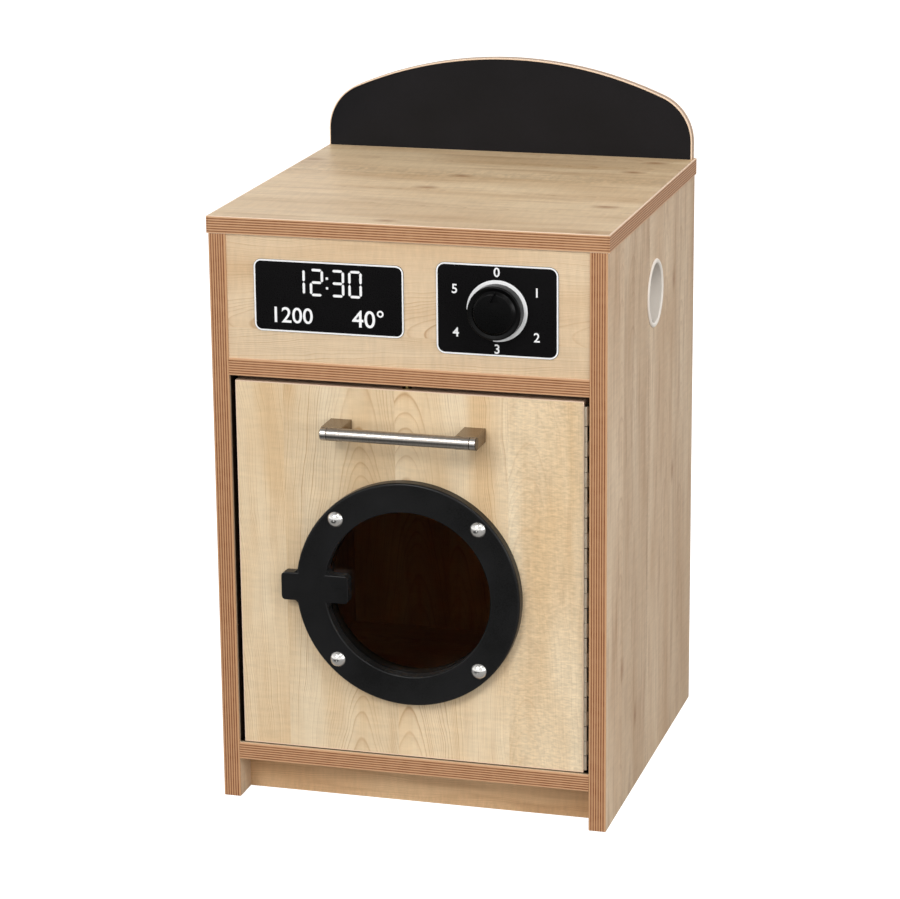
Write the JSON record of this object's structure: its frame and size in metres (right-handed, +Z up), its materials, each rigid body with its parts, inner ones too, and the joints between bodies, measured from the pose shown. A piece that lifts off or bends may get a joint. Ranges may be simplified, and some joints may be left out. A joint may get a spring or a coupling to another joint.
{
  "type": "toy washing machine",
  "caption": "Toy washing machine: a small wood-effect cabinet with a hinged door, a round window in a black ring, a bar handle, a turning dial and an arched upstand.",
  "frame": {"origin": "floor level, in the middle of the overall width and of the overall depth, handle included", "axes": "+Z up, +X to the right of someone who faces the door, -Y towards that person: the door and dial face -Y"},
  "size_m": [0.416, 0.452, 0.7255],
  "materials": {
    "maple_board": "satin maple-effect facing",
    "ply_band": "printed ply-effect edge band",
    "black_board": "satin black",
    "dowel": "sanded",
    "plate": "printed, smooth",
    "dial_black": "moulded gloss",
    "nylon": "moulded",
    "zinc_steel": "zinc plated",
    "pane": "clear acrylic",
    "black_edge": "painted edge",
    "chrome_cap": "polished",
    "bar_steel": "brushed along the bar's turn",
    "bar_end": "fine turned",
    "leg": "satin nickel effect",
    "hinge_steel": "rolled",
    "catch_brass": "turned and dulled",
    "hand_hold": "moulded satin"
  },
  "bodies": {
    "case": {"left_side": "maple_board", "right_side": "maple_board", "side_bands": "ply_band", "base_shelf": "maple_board", "middle_shelf": "maple_board", "shelf_bands": "ply_band", "plinth": "maple_board", "back_panel": "maple_board", "back_screws": "zinc_steel", "fascia": "maple_board", "worktop": "maple_board", "worktop_front_band": "ply_band", "worktop_side_bands": "ply_band", "case_dowels": "dowel", "upstand": "black_board", "upstand_band": "ply_band", "upstand_dowels": "dowel", "display_plate": "plate", "dial_plate": "plate", "dial_bush": "nylon", "hinge_case_leaf": "hinge_steel", "hinge_pin": "zinc_steel", "hinge_case_screws": "zinc_steel", "strike_plate": "catch_brass", "strike_screws": "catch_brass", "left_hand_hold": "hand_hold", "right_hand_hold": "hand_hold"},
    "door": {"door_panel": "maple_board", "door_bands": "ply_band", "window_ring": "black_board", "window_pane": "pane", "window_lining": "black_edge", "ring_screws": "zinc_steel", "dome_caps": "chrome_cap", "handle_bar": "bar_steel", "handle_end_caps": "bar_end", "handle_legs": "leg", "handle_screws": "zinc_steel", "hinge_door_leaf": "hinge_steel", "hinge_door_screws": "zinc_steel", "catch_barrel": "catch_brass", "catch_bullet": "catch_brass"},
    "dial": {"dial": "dial_black", "dial_spindle": "zinc_steel", "dial_washer": "zinc_steel", "dial_nut": "zinc_steel"}
  },
  "joints": [
    {"name": "door_swing", "type": "hinge", "parent": "case", "child": "door", "pos_m": [0.1841, -0.1876, 0.2571], "axis": [0, 0, 1], "range_deg": [0, 175]},
    {"name": "dial_turn", "type": "hinge", "parent": "case", "child": "dial", "pos_m": [0.094, -0.188, 0.5405], "axis": [0, 1, 0], "continuous": true}
  ]
}
